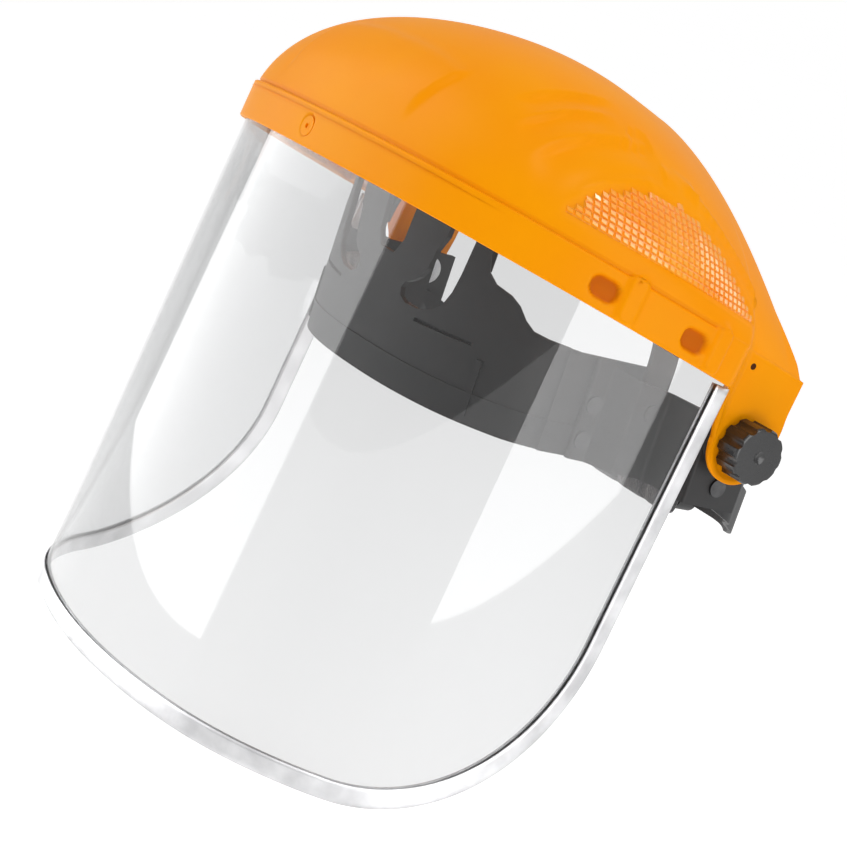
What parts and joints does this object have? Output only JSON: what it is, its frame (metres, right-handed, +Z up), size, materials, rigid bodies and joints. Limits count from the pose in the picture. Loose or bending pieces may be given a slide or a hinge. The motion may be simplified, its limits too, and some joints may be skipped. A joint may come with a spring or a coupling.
{
  "type": "face shield",
  "caption": "Browguard face shield: moulded crown with a clear edge-trimmed visor that tilts on clamped pivots beside an adjustable ratchet headgear.",
  "frame": {"origin": "centre of the headband opening, level with the headband's lower edge", "axes": "+Z up along the wearer's head, the wearer faces -Y, the wearer's left is +X"},
  "size_m": [0.2672, 0.2464, 0.2603],
  "materials": {
    "crown_plastic": "orange-yellow injection-moulded plastic, satin gloss",
    "visor_clear": "clear polycarbonate sheet, glossy",
    "edge_aluminium": "bright rolled aluminium edge binding",
    "headgear_plastic": "charcoal moulded plastic, fine matte grain",
    "knob_plastic": "black moulded plastic, semi-gloss",
    "gear_plastic": "natural acetal",
    "pad_fabric": "knitted terry over soft foam, sewn edge",
    "washer_rubber": "matte",
    "hardware_steel": "zinc plated",
    "insert_brass": "turned brass"
  },
  "bodies": {
    "headgear": {"front_headband": "headgear_plastic", "sweatband": "pad_fabric", "bracket_rivets": "hardware_steel", "strap_rivets": "hardware_steel", "top_strap": "headgear_plastic", "strap_pegs": "headgear_plastic", "left_side_bracket": "headgear_plastic", "right_side_bracket": "headgear_plastic", "left_pivot_bolt": "hardware_steel", "right_pivot_bolt": "hardware_steel", "left_friction_washer": "washer_rubber", "right_friction_washer": "washer_rubber", "left_cross_strap": "headgear_plastic", "right_cross_strap": "headgear_plastic", "left_strap_root": "headgear_plastic", "right_strap_root": "headgear_plastic", "nape_housing_front": "headgear_plastic", "nape_housing_back": "headgear_plastic", "housing_screws": "hardware_steel", "nape_pad": "pad_fabric"},
    "crown": {"crown_shell": "crown_plastic", "visor_sheet": "visor_clear", "visor_edge_trim": "edge_aluminium", "front_visor_stud": "crown_plastic"},
    "left_knob": {"left_tilt_knob": "knob_plastic", "left_knob_insert": "insert_brass"},
    "right_knob": {"right_tilt_knob": "knob_plastic", "right_knob_insert": "insert_brass"},
    "left_strap": {"left_nape_strap": "headgear_plastic"},
    "right_strap": {"right_nape_strap": "headgear_plastic"},
    "ratchet": {"ratchet_pinion": "gear_plastic", "ratchet_knob": "knob_plastic", "detent_spring": "gear_plastic", "knob_screw": "hardware_steel"}
  },
  "joints": [
    {"name": "visor_tilt", "type": "hinge", "parent": "headgear", "child": "crown", "pos_m": [0, 0.026, 0.025], "axis": [-1, 0, 0], "range_deg": [-8, 75]},
    {"name": "left_knob_turn", "type": "hinge", "parent": "headgear", "child": "left_knob", "pos_m": [0.1247, 0.026, 0.025], "axis": [1, 0, 0], "range_deg": [0, 360]},
    {"name": "right_knob_turn", "type": "hinge", "parent": "headgear", "child": "right_knob", "pos_m": [-0.1247, 0.026, 0.025], "axis": [-1, 0, 0], "range_deg": [0, 360]},
    {"name": "ratchet_turn", "type": "hinge", "parent": "headgear", "child": "ratchet", "pos_m": [0, 0.0925, -0.0115], "axis": [0, -1, 0], "range_deg": [0, 150]},
    {"name": "left_strap_slide", "type": "slide", "parent": "headgear", "child": "left_strap", "axis": [-1, 0, 0], "range_m": [0, 0.012]},
    {"name": "right_strap_slide", "type": "slide", "parent": "headgear", "child": "right_strap", "axis": [1, 0, 0], "range_m": [0, 0.012]}
  ],
  "couplings": [
    {"joint": "left_strap_slide", "follows": "ratchet_turn", "m_per_rad": 0.0045},
    {"joint": "right_strap_slide", "follows": "ratchet_turn", "m_per_rad": 0.0045}
  ]
}
